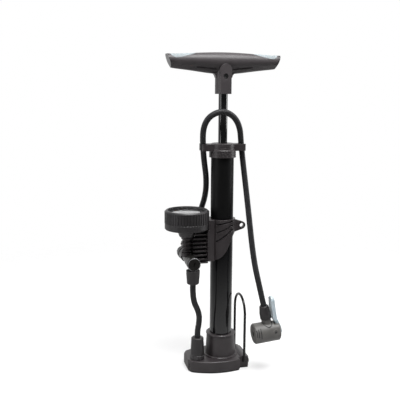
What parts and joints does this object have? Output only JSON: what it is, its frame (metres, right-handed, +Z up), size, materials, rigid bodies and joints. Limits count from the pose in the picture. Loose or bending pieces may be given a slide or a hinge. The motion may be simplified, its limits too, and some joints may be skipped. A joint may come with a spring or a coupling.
{
  "type": "floor bike pump",
  "caption": "Upright floor pump with a boat-shaped handle, top-facing pressure gauge on a side arm, looped hose with a lever chuck, and a fold-down foot loop.",
  "frame": {"origin": "on the barrel's axis, at the sole's underside", "axes": "+Z up along the barrel, -Y front, -X the gauge side"},
  "size_m": [0.177, 0.1084, 0.492],
  "materials": {
    "charcoal_plastic": "fine satin moulding",
    "gloss_black_paint": "gloss, matt upper zone",
    "black_rubber": "matt",
    "steel": "satin",
    "black_rod": "gloss black",
    "dark_chrome": "polished, darkened",
    "brass": "plain",
    "pale_plastic": "satin",
    "grey_plastic": "satin",
    "lens": "clear",
    "dial_print": "printed black",
    "orange_paint": "satin",
    "wire": "gloss black",
    "alloy": "machined"
  },
  "bodies": {
    "base": {"banjo_washers": "steel", "barrel": "gloss_black_paint", "barrel_cap": "charcoal_plastic", "barrel_seal": "black_rubber", "base_casting": "charcoal_plastic", "bourdon_tube": "brass", "bracket_collar": "charcoal_plastic", "bracket_screws": "steel", "chuck_body": "grey_plastic", "chuck_boot": "black_rubber", "chuck_cap": "grey_plastic", "chuck_pin": "steel", "chuck_seal": "black_rubber", "front_banjo": "dark_chrome", "front_bolt": "dark_chrome", "gauge_arm": "charcoal_plastic", "gauge_bezel": "dial_print", "gauge_dial": "dial_print", "gauge_guard": "black_rubber", "gauge_hose": "black_rubber", "gauge_housing": "grey_plastic", "gauge_lens": "lens", "lens_gasket": "black_rubber", "lower_boot": "black_rubber", "main_hose": "black_rubber", "movement_plate": "brass", "outlet_barb": "brass", "outlet_nut": "grey_plastic", "rear_banjo": "dark_chrome", "rear_bolt": "dark_chrome", "rear_boot": "black_rubber", "rod_bush": "grey_plastic", "rod_wiper": "black_rubber", "sole_pad": "black_rubber", "tee_body": "dark_chrome", "upper_boot": "black_rubber", "valve_seat": "brass", "valve_spring": "steel"},
    "pump_rod": {"piston_rod": "black_rod", "rod_plug": "alloy", "piston_head": "grey_plastic", "piston_seal": "black_rubber", "piston_screw": "steel", "handle_body": "charcoal_plastic", "grip_pad_left": "pale_plastic", "grip_pad_right": "pale_plastic", "end_cap_left": "grey_plastic", "end_cap_right": "grey_plastic", "handle_screw": "steel"},
    "bail": {"foot_bail": "wire"},
    "needle": {"gauge_needle": "orange_paint", "gauge_arbor": "steel"},
    "sector": {"gauge_sector": "brass"},
    "lever": {"chuck_lever": "pale_plastic"},
    "plunger": {"chuck_plunger": "grey_plastic"},
    "ball": {"valve_ball": "steel"}
  },
  "joints": [
    {"name": "pump_stroke", "type": "slide", "parent": "base", "child": "pump_rod", "axis": [0, 0, 1], "range_m": [-0.073, 0.214]},
    {"name": "foot_bail_fold", "type": "hinge", "parent": "base", "child": "bail", "pos_m": [0.032, 0, 0.012], "axis": [0, 1, 0], "range_deg": [0, 94]},
    {"name": "gauge_needle_turn", "type": "hinge", "parent": "base", "child": "needle", "pos_m": [-0.0555, 0, 0.246], "axis": [0, 0, -1], "range_deg": [0, 257], "stiffness_Nm_per_rad": 0.0002},
    {"name": "gauge_sector_turn", "type": "hinge", "parent": "base", "child": "sector", "pos_m": [-0.0555, 0.013, 0.233], "axis": [0, 0, 1], "range_deg": [0, 63.1]},
    {"name": "chuck_lever_flip", "type": "hinge", "parent": "base", "child": "lever", "pos_m": [0.07122, -0.046, 0.07055], "axis": [0, 1, 0], "range_deg": [0, 90]},
    {"name": "chuck_plunger_press", "type": "slide", "parent": "base", "child": "plunger", "axis": [-0.9962, 0, -0.0872], "range_m": [0, 0.00181]},
    {"name": "check_valve_lift", "type": "slide", "parent": "base", "child": "ball", "axis": [0, 0, 1], "range_m": [-0.0015, 0], "stiffness_N_per_m": 150, "springref_m": 0.0013, "deforming": ["valve_spring"]}
  ],
  "couplings": [
    {"joint": "gauge_sector_turn", "follows": "gauge_needle_turn", "ratio": 0.2451},
    {"joint": "chuck_plunger_press", "follows": "chuck_lever_flip", "m_per_rad": 0.0011459}
  ]
}
